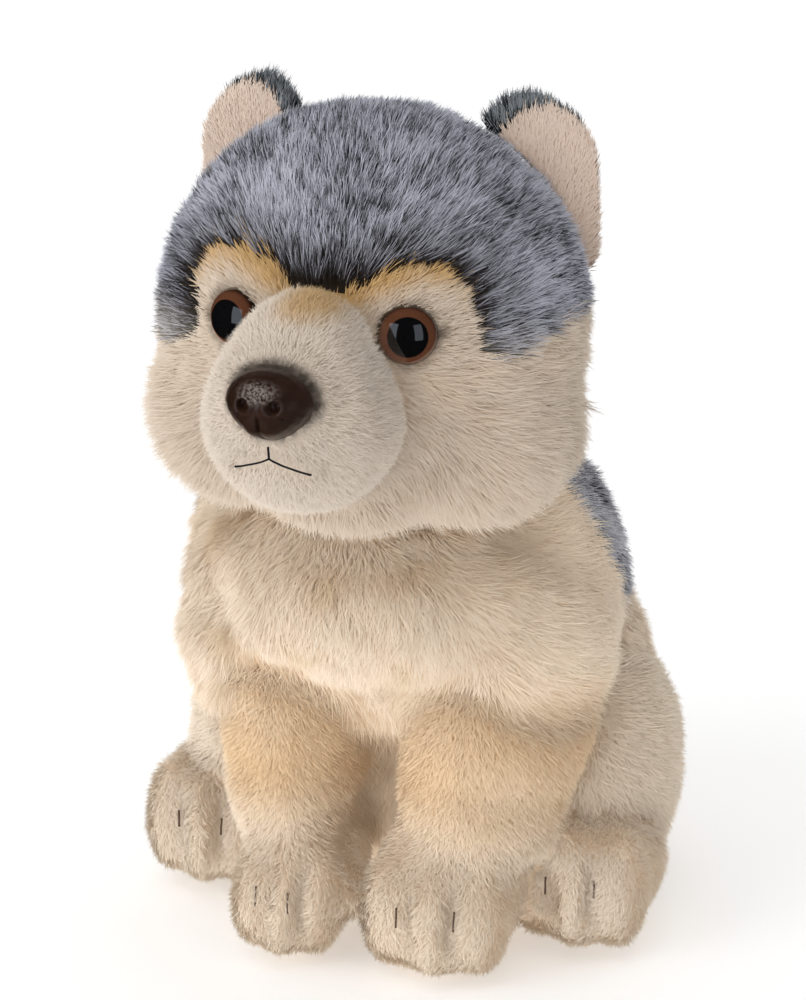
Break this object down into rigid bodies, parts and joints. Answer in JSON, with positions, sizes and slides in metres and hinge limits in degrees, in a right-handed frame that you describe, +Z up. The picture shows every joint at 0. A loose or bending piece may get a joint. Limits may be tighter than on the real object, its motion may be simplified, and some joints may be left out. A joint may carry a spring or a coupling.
{
  "type": "plush wolf",
  "caption": "Sitting plush wolf pup with a round panelled head, moulded nose, safety eyes, upright lined ears, stuffed legs with stitched toes and a bushy tail.",
  "frame": {"origin": "on the surface the toy sits on, under the middle of the whole toy", "axes": "+Z up to the ears; the wolf looks along -Y; its own left side is +X"},
  "size_m": [0.1408, 0.218, 0.2219],
  "materials": {
    "body_fur": "long cream plush pile",
    "face_fur": "long off-white plush pile",
    "muzzle_fur": "short off-white plush pile",
    "leg_fur": "cream plush pile with an airbrushed tint",
    "grey_fur": "dark plush pile with silver tips",
    "dark_fur": "charcoal plush pile",
    "ear_lining": "short pinkish cream pile",
    "eye": "brown iris and black pupil under a clear dome",
    "nose": "pebbled dark brown, satin",
    "washer": "natural moulded plastic",
    "dark_thread": "black embroidery thread",
    "toe_thread": "brown thread, pulled in"
  },
  "bodies": {
    "root": {"torso": "body_fur", "back_panel": "grey_fur", "head": "face_fur", "crown_panel": "grey_fur", "muzzle": "muzzle_fur", "left_ear_lining": "ear_lining", "right_ear_lining": "ear_lining", "left_ear_back": "dark_fur", "right_ear_back": "dark_fur", "left_eye": "eye", "right_eye": "eye", "left_eye_washer": "washer", "right_eye_washer": "washer", "nose": "nose", "nose_washer": "washer", "mouth_stitching": "dark_thread", "left_front_leg": "leg_fur", "right_front_leg": "leg_fur", "left_haunch": "body_fur", "right_haunch": "body_fur", "left_hind_foot": "leg_fur", "right_hind_foot": "leg_fur", "tail": "grey_fur", "left_front_paw_stitch_inner": "toe_thread", "left_front_paw_stitch_outer": "toe_thread", "right_front_paw_stitch_inner": "toe_thread", "right_front_paw_stitch_outer": "toe_thread", "left_hind_foot_stitch_inner": "toe_thread", "left_hind_foot_stitch_outer": "toe_thread", "right_hind_foot_stitch_inner": "toe_thread", "right_hind_foot_stitch_outer": "toe_thread"}
  },
  "joints": []
}
